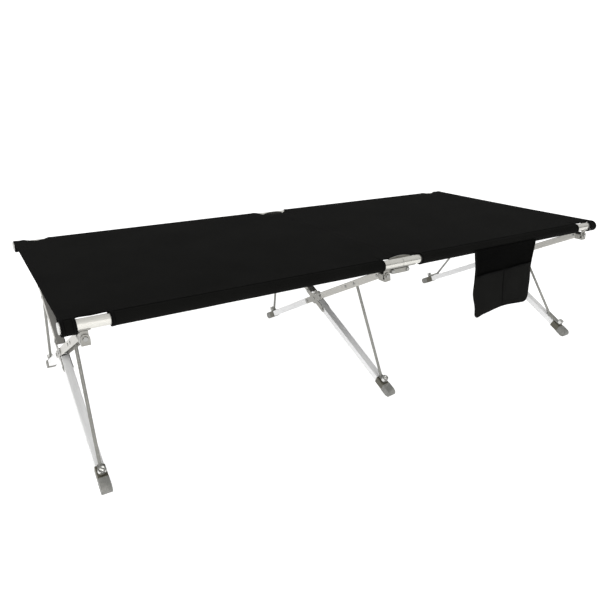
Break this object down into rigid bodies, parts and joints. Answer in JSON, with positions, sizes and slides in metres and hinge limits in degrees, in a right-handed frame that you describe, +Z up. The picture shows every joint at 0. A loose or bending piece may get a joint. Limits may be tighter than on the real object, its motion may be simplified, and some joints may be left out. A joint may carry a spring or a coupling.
{
  "type": "folding cot",
  "caption": "Folding camp cot: flat cloth bed sleeved on hinged round rails, crossed leg frames with struts, clamp knobs and plastic shoes, and a hanging side pocket.",
  "frame": {"origin": "on the floor, below the centre of the whole cot's outline, pocket included", "axes": "+X along the bed from the left half to the half with the pocket, +Y to the rail without the pocket, +Z up"},
  "size_m": [2.03, 0.8993, 0.4944],
  "materials": {
    "rail_metal": "bright anodised round tube",
    "leg_metal": "satin anodised extrusion",
    "bracket_steel": "zinc-plated pressed steel",
    "fastener_steel": "bright zinc-plated",
    "strut_steel": "plain drawn rod",
    "collar_metal": "dark bronze-grey plated",
    "shoe_plastic": "moulded grey",
    "plug_plastic": "moulded pale grey",
    "bed_cloth": "coated woven black polyester",
    "pocket_cloth": "black woven polyester",
    "pocket_mesh": "fine black mesh",
    "pocket_tape": "black woven edge tape"
  },
  "bodies": {
    "left_frame": {"rail_near_left": "rail_metal", "rail_far_left": "rail_metal", "end_plugs_left": "plug_plastic", "canvas_deck_left": "bed_cloth", "sleeve_near_left": "bed_cloth", "sleeve_far_left": "bed_cloth", "leg_hangers_left": "bracket_steel", "centre_brackets_left": "bracket_steel"},
    "centre_links": {"centre_link_near": "bracket_steel", "centre_link_far": "bracket_steel", "link_bolts": "fastener_steel", "link_nuts": "fastener_steel"},
    "right_frame": {"rail_near_right": "rail_metal", "rail_far_right": "rail_metal", "end_plugs_right": "plug_plastic", "canvas_deck_right": "bed_cloth", "sleeve_near_right": "bed_cloth", "sleeve_far_right": "bed_cloth", "leg_hangers_right": "bracket_steel", "centre_brackets_right": "bracket_steel"},
    "pocket": {"pocket_back": "pocket_cloth", "pocket_front": "pocket_mesh", "pocket_binding": "pocket_tape"},
    "leg_frame_left": {"upper_arm_near_left": "leg_metal", "upper_arm_far_left": "leg_metal", "lower_arm_near_left": "leg_metal", "lower_arm_far_left": "leg_metal", "joint_plates_left": "bracket_steel", "leg_rivets_left": "fastener_steel", "leg_struts_left": "strut_steel", "foot_shoes_left": "shoe_plastic", "foot_collars_left": "collar_metal", "clamp_knobs_left": "fastener_steel", "top_fittings_left": "bracket_steel", "pivot_pins_left": "fastener_steel"},
    "leg_frame_middle": {"upper_arm_near_middle": "leg_metal", "upper_arm_far_middle": "leg_metal", "lower_arm_near_middle": "leg_metal", "lower_arm_far_middle": "leg_metal", "joint_plates_middle": "bracket_steel", "leg_rivets_middle": "fastener_steel", "leg_struts_middle": "strut_steel", "foot_shoes_middle": "shoe_plastic", "foot_collars_middle": "collar_metal", "clamp_knobs_middle": "fastener_steel", "top_fittings_middle": "bracket_steel", "pivot_pins_middle": "fastener_steel"},
    "leg_frame_right": {"upper_arm_near_right": "leg_metal", "upper_arm_far_right": "leg_metal", "lower_arm_near_right": "leg_metal", "lower_arm_far_right": "leg_metal", "joint_plates_right": "bracket_steel", "leg_rivets_right": "fastener_steel", "leg_struts_right": "strut_steel", "foot_shoes_right": "shoe_plastic", "foot_collars_right": "collar_metal", "clamp_knobs_right": "fastener_steel", "top_fittings_right": "bracket_steel", "pivot_pins_right": "fastener_steel"}
  },
  "joints": [
    {"name": "fold", "type": "hinge", "parent": "left_frame", "child": "centre_links", "pos_m": [-0.036, 0.0047, 0.452], "axis": [0, 1, 0], "range_deg": [0, 90]},
    {"name": "right_half_fold", "type": "hinge", "parent": "centre_links", "child": "right_frame", "pos_m": [0.024, 0.0047, 0.452], "axis": [0, 1, 0], "range_deg": [0, 90]},
    {"name": "left_legs_swing", "type": "hinge", "parent": "left_frame", "child": "leg_frame_left", "pos_m": [-0.96, 0.0047, 0.441], "axis": [0, -1, 0], "range_deg": [0, 90]},
    {"name": "middle_legs_swing", "type": "hinge", "parent": "left_frame", "child": "leg_frame_middle", "pos_m": [-0.057, 0.0047, 0.441], "axis": [0, 1, 0], "range_deg": [0, 96.6]},
    {"name": "right_legs_swing", "type": "hinge", "parent": "right_frame", "child": "leg_frame_right", "pos_m": [0.96, 0.0047, 0.441], "axis": [0, 1, 0], "range_deg": [0, 90]},
    {"name": "pocket_swing", "type": "hinge", "parent": "right_frame", "child": "pocket", "pos_m": [0.4885, -0.4407, 0.474], "axis": [-1, 0, 0], "range_deg": [0, 90]}
  ],
  "couplings": [
    {"joint": "right_half_fold", "follows": "fold", "ratio": 1},
    {"joint": "left_legs_swing", "follows": "fold", "ratio": 1},
    {"joint": "middle_legs_swing", "follows": "fold", "ratio": 1.0733},
    {"joint": "right_legs_swing", "follows": "fold", "ratio": 1}
  ]
}
